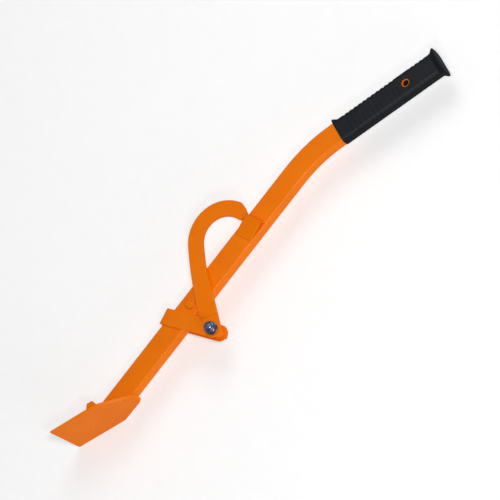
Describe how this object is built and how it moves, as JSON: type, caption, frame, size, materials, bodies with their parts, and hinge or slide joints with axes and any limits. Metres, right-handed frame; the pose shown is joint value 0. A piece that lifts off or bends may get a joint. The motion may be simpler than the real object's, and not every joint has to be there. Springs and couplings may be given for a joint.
{
  "type": "felling lever with swinging log hook",
  "caption": "Orange steel felling lever: bent box tube, forked-out flat blade, swinging log hook on a bracket, and a black ribbed rubber grip with a hanging hole.",
  "frame": {"origin": "middle of the hanging hole in the grip, on the tube's middle plane", "axes": "+X along the straight tube towards the grip end, +Y to the side that the hook curls over, +Z out of the tube's face that carries the hook"},
  "size_m": [0.7999, 0.1782, 0.096],
  "materials": {
    "orange_paint": "satin powder coat",
    "zinc_steel": "bright zinc plate",
    "nylon": "moulded",
    "grip_rubber": "moulded, satin"
  },
  "bodies": {
    "lever": {"lever_tube": "orange_paint", "blade": "orange_paint", "blade_weld": "orange_paint", "hook_bracket": "orange_paint", "bracket_welds": "orange_paint", "spacer_sleeve": "orange_paint", "pivot_bolt": "zinc_steel", "rear_washer": "zinc_steel", "front_washer": "zinc_steel", "lock_nut": "zinc_steel", "nylon_ring": "nylon", "hook_bush": "zinc_steel", "bearing_pad": "orange_paint", "pad_weld": "orange_paint", "keeper": "orange_paint", "keeper_welds": "orange_paint", "grip": "grip_rubber"},
    "hook": {"hook": "orange_paint"}
  },
  "joints": [
    {"name": "hook_swing", "type": "hinge", "parent": "lever", "child": "hook", "pos_m": [-0.4624, -0.00053, 0.0148], "axis": [0, 0, 1], "range_deg": [0, 100]}
  ]
}
